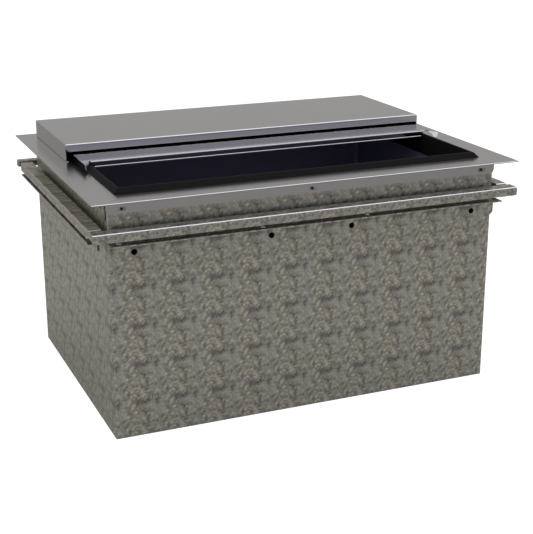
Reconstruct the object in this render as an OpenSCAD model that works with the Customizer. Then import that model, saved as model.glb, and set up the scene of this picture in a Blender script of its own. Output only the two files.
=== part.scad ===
// Drop-in ice bin. An insulated stainless liner hangs by its deck in a counter cut-out. A
// galvanised shell closes it, black breaker strips part the cold liner from the deck, and
// ledges and rails run round the shell below the counter. A rear cover lifts off, and a
// lid slides out from under it. X runs along the front, +Y to the back and +Z up, in
// millimetres, and the origin is the centre of the base.

/* [Body] */
// Outer width of the galvanised shell
body_w = 698.5; // [600:0.5:900]
// Outer depth of the galvanised shell, front to back
body_d = 495.3; // [440:0.1:640]
// Height of the shell, from its base to the underside of the deck
body_h = 407.1; // [330:0.1:520]
// Thickness of the galvanised sheet
shell_t = 1.2; // [0.8:0.1:1.6]
// Outer radius of the bends at the shell's front corners
shell_bend = 2.5; // [2:0.1:5]
// Width of the turned flanges that join the shell's panels
shell_lap = 20; // [12:1:30]
// Width of the inward lip along the shell's top edge
top_lip = 8; // [5:1:10]
// Distance of the two open slots beside each front corner from the corner's bend
corner_slot_in = 2.5; // [1:0.5:6]
// Width of those slots
corner_slot_w = 7.5; // [3:0.5:10]
// Height of the upper slot, which runs down from the deck
corner_slot_h = 36; // [20:1:42]
// Height of the lower slot, which ends level with the ledges' lower edge
low_slot_h = 27; // [10:1:27]
// Length of the short slots high on both side panels
side_slot_len = 8; // [5:0.5:14]
// Height of the short slots
side_slot_h = 2.6; // [2:0.1:4]
// Depth of the short slots below the underside of the deck
side_slot_drop = 22; // [12:0.5:32]
// Distance of the short slots from the shell's front and back faces
side_slot_in = 36; // [32:1:60]

/* [Insulation] */
// Thickness of the foam between the liner's walls and the shell
foam_side = 24; // [18:1:40]
// Thickness of the foam under the liner's floor
foam_floor = 60.6; // [56:0.1:90]
// Depth of the clear pockets in the foam behind the slots and bolt holes
pocket_d = 16; // [13:0.5:17]

/* [Liner] */
// Thickness of the stainless liner
liner_t = 1.2; // [0.8:0.1:1.5]
// Inner radius of the liner's upright corners
liner_corner = 8; // [6:0.5:8.5]
// Inner radius where the liner's walls meet its floor
liner_cove = 12; // [6:1:25]
// How far the floor falls from the side walls to the drain
floor_fall = 7; // [3:0.5:15]
// Width of the level strip of floor that holds the drain
drain_land = 116; // [104:1:160]
// Width of the liner's outward rim
rim_w = 12; // [10:1:14]
// Height of the foam seal between the liner's rim and the deck
seal_h = 3; // [2:0.5:4]
// Width of that seal
seal_w = 5.5; // [4:0.5:6]
// Gap between the seal and the breaker strips' barbs
seal_gap = 1; // [0.5:0.1:1.5]

/* [Deck] */
// Thickness of the stainless deck
deck_t = 1.2; // [0.9:0.1:1.6]
// How far the deck stands out past the shell on every side
overhang = 31.75; // [26:0.25:45]
// Width of the hem folded under the deck's edge
hem_w = 12; // [6:0.5:13]
// How far the deck's inner edge reaches under the breaker strips
deck_bite = 4.5; // [3.5:0.1:5]

/* [Aprons] */
// Thickness of the stainless aprons
apron_t = 1.2; // [0.9:0.1:1.6]
// Height of the apron below the deck
apron_h = 24.2; // [18:0.1:32]
// Gap between the apron's top leg, which is welded under the deck, and the deck's hem
apron_gap = 2.5; // [1:0.5:6]
// How far the apron runs past each side of the shell
apron_over = 1.7; // [0.5:0.1:5]
// Size of the cut-off lower corners of the apron
apron_chamfer = 6; // [2:0.5:10]
// Distance of the outer apron slots from the sides of the shell
slot_in = 23.85; // [16:0.05:120]
// Length of an apron slot
slot_len = 14.2; // [9:0.1:20]
// Height of an apron slot
slot_h = 6.5; // [6:0.1:8]
// Depth of the slots' centre line below the underside of the deck
slot_drop = 16.7; // [11:0.1:18]
// Radius of the head of a locating pin, which stands in its slot
pin_head_r = 2.5; // [2.2:0.1:2.9]
// Height of a pin's head above the shell
pin_head_h = 2.2; // [1.5:0.1:3]
// Radius of a pin's shank, where it passes through the shell
pin_r = 1.6; // [1.2:0.1:1.8]
// Radius of a pin's upset tail behind the shell
pin_tail_r = 2.8; // [2.4:0.1:3.4]
// Length of a pin's tail
pin_tail_h = 3; // [1.5:0.1:5]
// Size of the eased edge of a pin's tail
pin_edge = 0.5; // [0.2:0.1:0.8]
// Clearance left round the pins' tails in the foam
tail_gap = 0.5; // [0.3:0.1:1]

/* [Breaker strips] */
// Thickness of the strips' plastic wall
strip_t = 2.5; // [2:0.1:3]
// Width of a strip over the deck
strip_w = 11; // [10:0.1:14]
// Width of a strip's flat top
strip_top_w = 4; // [3:0.1:5]
// Height of a strip above the deck
strip_rise = 8.5; // [6:0.1:12]
// Depth of a strip's inner leg below the deck's top face
leg_drop = 29.3; // [15:0.1:45]
// Gap between a strip's leg and the liner's wall
strip_gap = 0.35; // [0.3:0.05:0.6]
// Reach of the snap barb under the deck's inner edge
barb_w = 1; // [0.5:0.1:1.5]
// Thickness of that barb at the leg
barb_h = 2; // [1:0.1:2.5]
// Gap between the barb and the underside of the deck
barb_gap = 0.1; // [0.05:0.05:0.3]
// Size of the eased edges along a strip's top
strip_nose = 0.6; // [0.3:0.1:1]
// How far the hollow under a strip reaches over the deck
hollow_over = 1; // [0.5:0.1:1.5]

/* [Ledges] */
// Thickness of the ledges
ledge_t = 2; // [1.5:0.1:3]
// Depth of the ledges' top face below the underside of the deck
ledge_drop = 67.6; // [60:0.1:90]
// Height of a ledge's upright leg
ledge_leg = 31.75; // [28:0.25:45]
// How far the front and rear ledges run past each side of the shell
ledge_over = 3.5; // [2.5:0.1:6]
// Size of the cut-off lower corners of the front and rear ledges
ledge_chamfer = 4.5; // [2:0.5:8]
// How far the front and rear ledges' level legs stop short of their upright legs' ends
ledge_relief = 1.5; // [0:0.1:3]
// How far the side ledges stop short of the shell's front and rear faces
side_ledge_in = 3; // [1:0.5:12]
// How far the side ledges' upright legs stop short of the same faces
side_leg_in = 60; // [10:1:80]
// Radius of the ledges' bolt holes
bolt_hole_r = 5.15; // [3.5:0.05:5.5]
// Distance of the outer holes in the upright legs from the sides of the shell
leg_hole_in = 41.25; // [16:0.05:120]
// Distance between the two inner holes in the upright legs
leg_hole_inner = 147; // [60:1:300]
// Depth of those holes below the ledges' top face
leg_hole_drop = 21.15; // [14:0.05:22]
// Distance of the outer holes in the level legs from the sides of the shell
flange_hole_in = 12.25; // [9:0.05:100]
// Distance between the two inner holes in the level legs
flange_hole_inner = 190; // [60:1:300]
// Distance of the holes in the level legs from the shell's face
flange_hole_out = 18.5; // [18:0.1:21]

/* [Rails] */
// Thickness of the rails
rail_t = 1.6; // [1.2:0.1:2]
// Width of a rail's top face
rail_w = 21.7; // [18:0.1:22]
// Height of a rail above the ledge that carries it
rail_h = 21.85; // [18:0.05:30]
// Height of a rail's outer face
rail_face = 15; // [12:0.5:17]
// Outer radius of the bend along a rail's top front edge
rail_bend = 2.4; // [2.1:0.1:4]
// Radius of the lower corners at the ends of a rail's outer face
rail_corner = 5; // [2:0.5:8]
// How far the front and rear rails run past the deck at each end
rail_over = 1.2; // [0:0.1:5]
// Gap between the side rails' ends and the front and rear rails
rail_gap = 10; // [3:0.1:20]
// Gap between a rail's foot and the upright leg of its ledge
foot_gap = 0.7; // [0.3:0.1:1]
// Radius of a rail rivet's shank
rivet_r = 1.6; // [1.2:0.1:1.8]
// Radius of a rail rivet's head
rivet_head_r = 2.9; // [2.4:0.1:3]
// Height of a rail rivet's head
rivet_head_h = 1; // [0.6:0.1:1.4]
// Length of the bulb that a rivet forms under the ledge
rivet_bulb_h = 1.6; // [1:0.1:3]
// How far the bulb stands out past the rivet's shank
rivet_bulb_w = 0.8; // [0.4:0.1:1]
// Clearance of a rivet in its hole
rivet_gap = 0.05; // [0.02:0.01:0.2]
// Number of rivets in each long rail
rivets_long = 5; // [3:1:9]
// Number of rivets in each side rail
rivets_short = 4; // [2:1:6]

/* [Rear cover] */
// Thickness of the cover's sheet
cover_t = 1.2; // [0.9:0.1:1.5]
// Depth of the cover, front to back
cover_d = 235.2; // [200:0.1:260]
// Height of the cover above the deck
cover_h = 31.2; // [28:0.1:60]
// Outer radius of the bends round the cover's top
cover_bend = 2.6; // [2:0.1:5]
// Distance of the cover's back from the deck's back edge
cover_setback = 26.3; // [20:0.1:34]
// Distance from the breaker strips' outer edges to the cover's sides
cover_side = 15.4; // [14:0.1:20]
// Width of the feet turned inward below the cover's sides
foot_w = 4.8; // [4:0.1:5]
// Width of the foot turned inward below the cover's back
rear_foot_w = 14; // [12:0.5:16]
// Width of the two upturned tabs on that foot that stop the lid
stop_w = 18; // [8:1:30]
// Height of the stop tabs above the deck
stop_h = 13; // [11:0.1:14]
// Outer radius of the bends at the bottom of the cover's sides and back
foot_bend = 2; // [1.4:0.1:3]
// Radius of the two relief holes at each of the cover's rear corners
relief_r = 1.4; // [0.8:0.1:2]
// Height of the upper relief holes above the deck
relief_up = 9.3; // [6:0.1:14]
// Height of the hem folded up inside the cover's front face
cover_hem = 6; // [4:0.5:10]
// How far that hem stops short of the cover's sides
cover_hem_in = 7; // [2:0.5:20]
// Distance of the two locating studs from the cover's sides
stud_in = 46.4; // [36:0.1:160]
// Radius of a locating stud
stud_r = 2.4; // [2:0.1:3]
// Height of a locating stud above the deck
stud_h = 5; // [3:0.5:6.5]
// Gap between a locating stud and its hole in the cover
stud_gap = 0.6; // [0.4:0.1:1]

/* [Sliding lid] */
// Thickness of the lid's sheet
lid_t = 1.2; // [0.9:0.1:1.5]
// Depth of the lid, front to back
lid_d = 250; // [240:1:260]
// How far the lid stands out in front of the cover
lid_out = 68; // [55:0.1:80]
// Gap between the lid's edge and the cover's side
lid_side_gap = 7; // [4:0.1:9]
// How far the lid rests to the right of the middle of its side play
lid_shift = 2.6; // [0:0.1:3.2]
// Gap between the lid's top and the cover's front face
lid_top_gap = 3; // [1:0.1:4.5]
// Outer radius of the bend at the lid's front edge
lid_bend = 2.2; // [1.8:0.1:3]
// Drop of the finger lip from the lid's top to its hem
lip_drop = 12; // [10.5:0.1:16]
// How far the finger lip leans back below the front edge
lip_back = 2; // [1:0.1:6]
// Radius of the hem along the bottom of the lip
lip_hem_r = 1.3; // [1:0.1:1.6]
// Gap between the ends of the lip and the breaker strips
lip_gap = 4; // [3.4:0.1:8]
// How far the lid's corners stand out in front of the finger lip
horn_out = 22.3; // [14:0.1:26]
// Width of a corner where it leaves the line of the finger lip
horn_w = 15.5; // [13:0.1:18]
// Length of the ear turned down along a corner's inner edge
ear_len = 19.3; // [17:0.1:19.5]
// Radius of the sweep that narrows an ear towards its tip
ear_sweep = 12.4; // [10:0.1:13]
// Height of an ear below the lid's top
ear_h = 9.2; // [7:0.1:10]
// Angle by which an ear stands off the upright, in degrees
ear_lean = 18; // [0:1:30]
// Height of the stiffening flange under the lid's rear edge
lid_rear_h = 4; // [2:0.1:4.2]
// Height of the plastic glides under the lid
glide_h = 4.4; // [4.2:0.1:8]
// Width of a glide
glide_w = 9; // [8:0.1:12]
// Running gap under the glides
glide_gap = 0.2; // [0.1:0.05:0.5]
// How far the glides stop short of the lid's front edge
glide_front = 13; // [12:1:30]
// How far the glides stop short of the lid's rear edge
glide_rear = 4; // [3:1:30]

/* [Drain] */
// Radius of the drain's flange on the liner's floor
drain_flange_r = 45; // [42:0.5:50]
// Height of the drain's flange above the floor
drain_flange_h = 1; // [0.6:0.1:1.5]
// How far the gasket and the locknut stop short of the flange's edge
under_flange = 1; // [0.5:0.1:2.5]
// Thickness of the drain's walls
drain_t = 2.5; // [2:0.1:3]
// Inner radius of the drain bowl's mouth, where the strainer sits
bowl_r = 30; // [28:0.5:33]
// Width of the seat that carries the strainer
seat_w = 3; // [2:0.1:4]
// Depth of the strainer's seat below the floor
seat_drop = 2; // [1.5:0.1:4]
// Depth of the drain bowl below the floor
bowl_depth = 24; // [18:0.5:28]
// Inner radius of the outlet tube
outlet_r = 13.2; // [10:0.1:14]
// How far the outlet tube's outside stands out past the thread
outlet_step = 1.1; // [0.6:0.1:1.5]
// Radius of the threaded bore in the outlet socket
socket_r = 15.4; // [15:0.1:15.8]
// Length of that threaded bore
socket_bore = 22; // [16:0.5:24]
// Length of the outlet socket
socket_len = 28; // [26:0.5:30]
// Wall of the outlet socket round its thread
socket_wall = 4.6; // [3.5:0.1:6]
// Thickness of the drain's gasket
gasket_h = 2; // [1:0.1:3]
// Thickness of the drain's locknut
locknut_h = 7; // [5:0.5:9]
// Clearance round the drain parts in the foam and the base
drain_gap = 0.6; // [0.3:0.1:1.5]
// Thickness of the strainer plate
strainer_t = 1.5; // [1:0.1:2]
// Gap round the strainer plate
strainer_gap = 0.4; // [0.3:0.1:1]
// Radius of a strainer hole
strainer_hole_r = 2; // [1:0.1:2.4]
// Height of the strainer's finger knob above its plate
knob_h = 9; // [6:0.5:14]
// Radius of the strainer's finger knob
knob_r = 5; // [4:0.1:6]
// Height of the knob's cap
knob_cap_h = 3; // [2:0.1:4]
// Radius of the knob's neck
neck_r = 2.5; // [2:0.1:3]
// Radius of the knob's spigot in the strainer plate
spigot_r = 2; // [1.2:0.1:2.4]

/* [Hidden] */

// Facets of a full circle, and of a small fastener
$fn = 64;
small_fn = 32;
// Length added to a cut so that it passes right through a face
cut = 1;
// Number of steps in the short arcs of the folded edges
arc_steps = 6;

// Colours
zinc = "#8c8a7f";
steel = "#a8a8a6";
plastic = "#1d1d1c";
foam_tint = "#d9c98f";
rubber = "#2b2b2b";
liner_tint = "#8d8f99";

// Deck and the levels that hang from it
deck_w = body_w + 2 * overhang;
deck_d = body_d + 2 * overhang;
deck_under = body_h;
deck_top = body_h + deck_t;
rim_top = deck_under - seal_h;

// Liner
liner_hw = body_w / 2 - shell_t - foam_side - liner_t;
liner_hd = body_d / 2 - shell_t - foam_side - liner_t;
floor_z = shell_t + foam_floor + liner_t;

// Breaker strips
strip_hw = liner_hw - strip_gap - strip_t;
strip_hd = liner_hd - strip_gap - strip_t;
strip_top = deck_top + strip_rise;
barb_z = deck_under - barb_gap;
seal_hw = strip_hw + strip_w - deck_bite + barb_w + seal_gap;
seal_hd = strip_hd + strip_w - deck_bite + barb_w + seal_gap;

// Ledges, rails and aprons
ledge_top = body_h - ledge_drop;
rail_top = ledge_top + rail_h;
ledge_low = ledge_top - ledge_leg;
leg_hole_x = body_w / 2 - leg_hole_in;
leg_hole_z = ledge_top - leg_hole_drop;
flange_hole_x = body_w / 2 - flange_hole_in;
slot_x = body_w / 2 - slot_in;
slot_z = body_h - slot_drop;
corner_slot_y = body_d / 2 - shell_bend - corner_slot_in;
side_slot_y = body_d / 2 - side_slot_in;
side_slot_z = body_h - side_slot_drop;
apron_leg = overhang - hem_w - apron_t - apron_gap;
inner_bend = max(shell_bend - 2 * shell_t, 0.2);
foot_in = ledge_t + foot_gap;
rivet_out = (foot_in + overhang - rail_w) / 2;
rivet_hole_r = rivet_r + rivet_gap;
long_rivets = rivet_places(body_w / 2 - shell_lap, rivets_long);
side_rivets = rivet_places(body_d / 2 - side_leg_in, rivets_short);

// Cover and lid
cover_hw = strip_hw + strip_w + cover_side;
cover_back = deck_d / 2 - cover_setback;
cover_front = cover_back - cover_d;
cover_top = deck_top + cover_h;
glide_z = strip_top + glide_gap;
lid_under = glide_z + glide_h;
lid_top = lid_under + lid_t;
lid_hw = cover_hw - cover_t - lid_side_gap;
lid_front = cover_front - lid_out;
lip_hw = strip_hw - lip_gap;
lip_root_hw = lid_hw - horn_w;
bend_y = lid_front + lid_bend;
face_bottom = lid_top + lid_top_gap;
stop_y = cover_back - rear_foot_w;
stud_x = cover_hw - stud_in;
stud_y = cover_back - rear_foot_w / 2;
stud_hole_r = stud_r + stud_gap;

// Drain
seat_z = floor_z - seat_drop;
bowl_z = floor_z - bowl_depth;
bowl_out_r = bowl_r + drain_t;
socket_out_r = socket_r + socket_wall;
outlet_out_r = socket_r + outlet_step;
locknut_top = floor_z - liner_t - gasket_h;

// Points of an arc, from one angle to another, for a folded edge
function arc(centre, r, from, to) =
    [for (i = [0:arc_steps]) let (a = from + (to - from) * i / arc_steps)
        centre + r * [cos(a), sin(a)]];

// Rectangle of the given half sizes with round corners
module round_rect(hw, hd, r) {
    square([2 * (hw - r), 2 * hd], center = true);
    square([2 * hw, 2 * (hd - r)], center = true);
    for (sx = [-1, 1], sy = [-1, 1])
        translate([sx * (hw - r), sy * (hd - r)]) circle(r);
}

// Level slab of the given half sizes and round corners
module round_slab(hw, hd, r, z0, z1) {
    translate([0, 0, z0]) linear_extrude(z1 - z0) round_rect(hw, hd, r);
}

// Box given by two opposite corners
module block(p, q) {
    translate(p) cube(q - p);
}

// Outline drawn as [outward, up], run along the front at the given distance from the middle
module run_front(half_len, dist) {
    translate([-half_len, -dist, 0]) rotate([90, 0, 90]) linear_extrude(2 * half_len)
        mirror([1, 0]) children();
}

// Turns a piece drawn for the front to another side: 0 front, 1 right, 2 back, 3 left
module side(n) {
    rotate([0, 0, 90 * n]) children();
}

// Wedge of space in which a strip along the front is cut to its mitres
module mitre(hw, hd, reach, z0, z1) {
    translate([0, 0, z0]) linear_extrude(z1 - z0)
        polygon([[-hw, -hd], [hw, -hd], [hw - reach, -hd + reach], [-hw + reach, -hd + reach]]);
}

// Round hole along Y
module hole_y(x, y, z, r, len) {
    translate([x, y, z]) rotate([90, 0, 0]) cylinder(r = r, h = len, center = true);
}

// Round hole along Z
module hole_z(x, y, z, r, len) {
    translate([x, y, z]) cylinder(r = r, h = len, center = true);
}

// Round holes of the upright ledge legs, cut into whatever lies behind them
module leg_holes(y, len) {
    for (x = [-leg_hole_x, -leg_hole_inner / 2, leg_hole_inner / 2, leg_hole_x])
        hole_y(x, y, leg_hole_z, bolt_hole_r, len);
}

// Round holes for the locating pins, cut into whatever lies behind the apron
module pin_holes(y, r, len) {
    for (x = [-slot_x, 0, slot_x]) hole_y(x, y, slot_z, r, len);
}

// Short level slots high on both sides
module side_slots(x, len) {
    for (n = [1, 3], s = [-1, 1])
        side(n) long_slot(s * side_slot_y, -x, side_slot_z, side_slot_len, side_slot_h, len);
}

// Upright slots beside both front corners, cut inward to the given depth
module corner_slots(depth, top) {
    for (s = [-1, 1], z = [[body_h - corner_slot_h, top], [ledge_low, ledge_low + low_slot_h]])
        scale([s, 1, 1]) block([body_w / 2 - depth, -corner_slot_y, z[0]],
            [body_w / 2 + cut, corner_slot_w - corner_slot_y, z[1]]);
}

// Galvanised front and sides, folded from one sheet, with a lip along the top
module shell_wrap() {
    color(zinc) difference() {
        union() {
            difference() {
                round_slab(body_w / 2, body_d / 2, shell_bend, 0, body_h);
                round_slab(body_w / 2 - shell_t, body_d / 2 - shell_t, shell_bend - shell_t,
                    -cut, body_h + cut);
                block([-body_w, body_d / 2 - shell_bend, -cut], [body_w, body_d, body_h + cut]);
            }
            for (s = [-1, 1]) scale([s, 1, 1])
                block([body_w / 2 - shell_t, body_d / 2 - shell_bend - cut, 0],
                    [body_w / 2, body_d / 2, body_h]);
            difference() {
                round_slab(body_w / 2 - shell_t / 2, body_d / 2 - shell_t / 2, shell_bend - shell_t / 2,
                    body_h - shell_t, body_h);
                block([-body_w / 2 + shell_t + top_lip, -body_d / 2 + shell_t + top_lip, 0],
                    [body_w / 2 - shell_t - top_lip, body_d, body_h + cut]);
                block([-body_w, body_d / 2 - shell_t - shell_lap, 0], [body_w, body_d, body_h + cut]);
            }
        }
        leg_holes(-body_d / 2, 4 * shell_bend);
        pin_holes(-body_d / 2, pin_r, 4 * shell_bend);
        side_slots(body_w / 2, 4 * shell_t);
        corner_slots(shell_t + top_lip + cut, body_h + cut);
    }
}

// Galvanised back panel with a flange on each side and a lip along the top
module shell_back() {
    hw = body_w / 2 - shell_t;
    y1 = body_d / 2;
    color(zinc) difference() {
        union() {
            block([-hw, y1 - shell_t, 0], [hw, y1, body_h]);
            for (s = [-1, 1]) scale([s, 1, 1])
                block([hw - shell_t, y1 - shell_lap, shell_t + shell_lap], [hw, y1, body_h]);
            block([-hw, y1 - shell_t - top_lip, body_h - shell_t], [hw, y1, body_h]);
        }
        leg_holes(y1, 4 * shell_t);
        pin_holes(y1, pin_r, 4 * shell_t);
    }
}

// Galvanised base pan with upturned edges and a hole for the drain's socket
module shell_base() {
    hw = body_w / 2 - shell_t;
    hd = body_d / 2 - shell_t;
    color(zinc) difference() {
        round_slab(hw, hd, shell_bend - shell_t, 0, shell_lap);
        round_slab(hw - shell_t, hd - shell_t, inner_bend, shell_t, shell_lap + cut);
        hole_z(0, 0, 0, socket_out_r + drain_gap, 4 * shell_t);
    }
}

// Space inside the liner, or its outside when grown by the sheet, up to a given level
module liner_form(grow, top) {
    hw = liner_hw + grow;
    hd = liner_hd + grow;
    r = liner_cove + grow;
    low = floor_z - grow;
    side_z = low + floor_fall;
    intersection() {
        round_slab(hw, hd, liner_corner + grow, low - cut, top);
        rotate([90, 0, 0]) linear_extrude(4 * hd, center = true) {
            polygon([[-hw + r, side_z], [-drain_land / 2, low], [drain_land / 2, low], [hw - r, side_z],
                [hw - r, top], [-hw + r, top]]);
            for (s = [-1, 1]) {
                translate([s * (hw - r), side_z + r]) circle(r);
                translate([s * (hw - r / 2), (side_z + r + top) / 2])
                    square([r, top - side_z - r], center = true);
            }
        }
        rotate([90, 0, 90]) linear_extrude(4 * hw, center = true) {
            translate([-hd + r, low]) square([2 * (hd - r), top - low]);
            translate([-hd, low + r]) square([2 * hd, top - low - r]);
            for (s = [-1, 1]) translate([s * (hd - r), low + r]) circle(r);
        }
    }
}

// Stainless liner: coved walls, a floor that falls to the drain, and an outward rim
module liner() {
    color(liner_tint) difference() {
        union() {
            liner_form(liner_t, rim_top);
            round_slab(liner_hw + liner_t + rim_w, liner_hd + liner_t + rim_w, liner_corner + liner_t,
                rim_top - liner_t, rim_top);
        }
        liner_form(0, rim_top + cut);
        hole_z(0, 0, floor_z, bowl_out_r + drain_gap, 4 * liner_t);
    }
}

// Foamed-in-place insulation between the liner and the shell
module foam_insulation() {
    hw = body_w / 2 - shell_t;
    hd = body_d / 2 - shell_t;
    color(foam_tint) difference() {
        union() {
            round_slab(hw - shell_t, hd - shell_t, inner_bend, shell_t, shell_lap + cut);
            round_slab(hw, hd, shell_bend - shell_t, shell_lap, rim_top - liner_t);
        }
        liner_form(liner_t, rim_top + cut);
        for (s = [-1, 1]) scale([s, 1, 1])
            block([hw - shell_t, hd + shell_t - shell_lap, shell_t + shell_lap], [hw + cut, body_d, body_h]);
        for (s = [-1, 1]) scale([1, s, 1]) {
            leg_holes(-hd, 2 * pocket_d);
            pin_holes(-hd, pin_tail_r + tail_gap, 2 * (pin_tail_h + tail_gap));
        }
        side_slots(hw, 2 * pocket_d);
        corner_slots(shell_t + pocket_d, body_h);
        hole_z(0, 0, 0, socket_out_r + drain_gap, 2 * floor_z);
        translate([0, 0, bowl_z - drain_t - drain_gap]) cylinder(r = bowl_out_r + drain_gap, h = floor_z);
        translate([0, 0, locknut_top - locknut_h - drain_gap])
            cylinder(r = drain_flange_r + drain_gap, h = floor_z);
    }
}

// Closed-cell foam seal between the liner's rim and the deck
module rim_seal() {
    color(rubber) translate([0, 0, rim_top]) linear_extrude(seal_h) difference() {
        square(2 * [seal_hw + seal_w, seal_hd + seal_w], center = true);
        square(2 * [seal_hw, seal_hd], center = true);
    }
}

// Round-nosed hem under one edge of the deck, as [outward, up] from the deck's edge
module hem_outline() {
    r = deck_t;
    polygon(concat([[-hem_w, deck_under - r], [-r, deck_under - r]],
        arc([-r, deck_under], r, -90, 90), [[-hem_w, deck_top]]));
}

// Stainless deck: flat sheet with a hem all round and an opening for the breaker strips
module deck() {
    hw = deck_w / 2;
    hd = deck_d / 2;
    open_hw = strip_hw + strip_w - deck_bite;
    open_hd = strip_hd + strip_w - deck_bite;
    color(steel) {
        difference() {
            block([-hw + hem_w / 2, -hd + hem_w / 2, deck_under], [hw - hem_w / 2, hd - hem_w / 2, deck_top]);
            block([-open_hw, -open_hd, 0], [open_hw, open_hd, deck_top + cut]);
        }
        for (n = [0:3]) {
            long = n % 2 == 0;
            a = long ? hw : hd;
            b = long ? hd : hw;
            side(n) intersection() {
                run_front(a, b) hem_outline();
                mitre(a, b, 2 * hem_w, 0, deck_top + cut);
            }
        }
    }
}

// Slot with round ends, lying along X on the front
module long_slot(x, y, z, len, h, depth) {
    for (s = [-1, 1]) hole_y(x + s * (len - h) / 2, y, z, h / 2, depth);
    translate([x, y, z]) cube([len - h, depth, h], center = true);
}

// Stainless apron: an angle under the deck with a slotted face against the shell
module apron() {
    hw = body_w / 2 + apron_over;
    y = -body_d / 2;
    low = body_h - apron_h;
    color(steel) difference() {
        union() {
            translate([0, y, 0]) rotate([90, 0, 0]) linear_extrude(apron_t)
                polygon([[-hw, body_h], [-hw, low + apron_chamfer], [-hw + apron_chamfer / 2, low],
                    [hw - apron_chamfer / 2, low], [hw, low + apron_chamfer], [hw, body_h]]);
            block([-hw, y - apron_t - apron_leg, body_h - apron_t], [hw, y, body_h]);
        }
        for (x = [-slot_x, 0, slot_x]) long_slot(x, y, slot_z, slot_len, slot_h, 4 * apron_t);
    }
}
module apron_front() { apron(); }
module apron_rear() { side(2) apron(); }

// Locating pin riveted through the shell, with its head standing in an apron slot
module locating_pin(x) {
    crown = pin_head_h / 2;
    translate([x, -body_d / 2, slot_z]) rotate([90, 0, 0]) rotate_extrude($fn = small_fn)
        polygon(concat([[0, -shell_t - pin_tail_h], [pin_tail_r - pin_edge, -shell_t - pin_tail_h],
            [pin_tail_r, pin_edge - shell_t - pin_tail_h], [pin_tail_r, -shell_t], [pin_r, -shell_t],
            [pin_r, 0], [pin_head_r, 0], [pin_head_r, crown]],
            [for (i = [1:arc_steps]) let (a = 90 * i / arc_steps)
                [pin_head_r * cos(a), crown + crown * sin(a)]]));
}
module apron_pins() {
    color(steel) for (n = [0, 2], x = [-slot_x, 0, slot_x]) side(n) locating_pin(x);
}

// Outline of a breaker strip, as [outward, up] from its inner face
module strip_outline() {
    slope = strip_rise / (strip_w - strip_top_w);
    hollow_w = strip_w - deck_bite + hollow_over;
    difference() {
        polygon([[0, deck_top - leg_drop], [0, strip_top - strip_nose], [strip_nose, strip_top],
            [strip_top_w - strip_nose, strip_top], [strip_top_w + strip_nose / 2, strip_top - strip_nose / 2],
            [strip_w, deck_top + strip_nose], [strip_w, deck_top], [strip_t, deck_top],
            [strip_t, deck_top - leg_drop]]);
        intersection() {
            polygon([[strip_t, deck_top - cut], [hollow_w, deck_top - cut], [hollow_w, deck_top],
                [strip_t, deck_top + slope * (hollow_w - strip_t)]]);
            translate([0, deck_top - cut]) square([strip_w, strip_rise + cut - strip_t]);
        }
    }
    polygon([[strip_t / 2, barb_z], [strip_w - deck_bite + barb_w, barb_z], [strip_t, barb_z - barb_h],
        [strip_t / 2, barb_z - barb_h]]);
}

// Breaker strip along the front of an opening, mitred at both ends
module breaker(hw, hd) {
    reach = strip_w + 1;
    leg_z = deck_top - leg_drop - cut;
    color(plastic) difference() {
        intersection() {
            run_front(hw + strip_w, hd) strip_outline();
            mitre(hw + strip_w, hd + strip_w, reach, leg_z, strip_top + cut);
        }
        difference() {
            block([-hw - strip_w - cut, -hd - strip_w - cut, leg_z],
                [hw + strip_w + cut, -hd + reach, rim_top]);
            round_slab(hw + strip_t, hd + strip_t, liner_corner - strip_gap, leg_z - cut, rim_top + cut);
        }
    }
}
module breaker_front() { breaker(strip_hw, strip_hd); }
module breaker_rear() { side(2) breaker(strip_hw, strip_hd); }
module breaker_left() { side(3) breaker(strip_hd, strip_hw); }
module breaker_right() { side(1) breaker(strip_hd, strip_hw); }

// Ledge angle along the front: a level leg above an upright leg against the shell
module ledge(half_len, leg_half, dist, chamfer) {
    translate([0, -dist, 0]) rotate([90, 0, 0]) linear_extrude(ledge_t) difference() {
        translate([-leg_half, ledge_low]) square([2 * leg_half, ledge_leg]);
        if (chamfer > 0) for (s = [-1, 1])
            translate([s * leg_half, ledge_low]) rotate(45) square(chamfer * sqrt(2), center = true);
    }
    block([-half_len, -dist - overhang, ledge_top - ledge_t], [half_len, -dist, ledge_top]);
}

// Places of the rivets along a rail of the given half length
function rivet_places(half_len, count) =
    [for (i = [0:count - 1]) half_len * (2 * (i + 0.5) / count - 1)];

module long_ledge() {
    half = body_w / 2 + ledge_over;
    dist = body_d / 2;
    color(zinc) difference() {
        ledge(half - ledge_relief, half, dist, ledge_chamfer);
        leg_holes(-dist, 4 * ledge_t);
        for (x = [-flange_hole_x, -flange_hole_inner / 2, flange_hole_inner / 2, flange_hole_x])
            hole_z(x, -dist - flange_hole_out, ledge_top, bolt_hole_r, 4 * ledge_t);
        for (x = long_rivets) hole_z(x, -dist - rivet_out, ledge_top, rivet_hole_r, 4 * ledge_t);
    }
}
module side_ledge() {
    half = body_d / 2 - side_ledge_in;
    dist = body_w / 2;
    color(zinc) difference() {
        ledge(half, body_d / 2 - side_leg_in, dist, 0);
        for (x = side_rivets) hole_z(x, -dist - rivet_out, ledge_top, rivet_hole_r, 4 * ledge_t);
    }
}
module ledge_front() { long_ledge(); }
module ledge_rear() { side(2) long_ledge(); }
module ledge_left() { side(3) side_ledge(); }
module ledge_right() { side(1) side_ledge(); }

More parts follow.
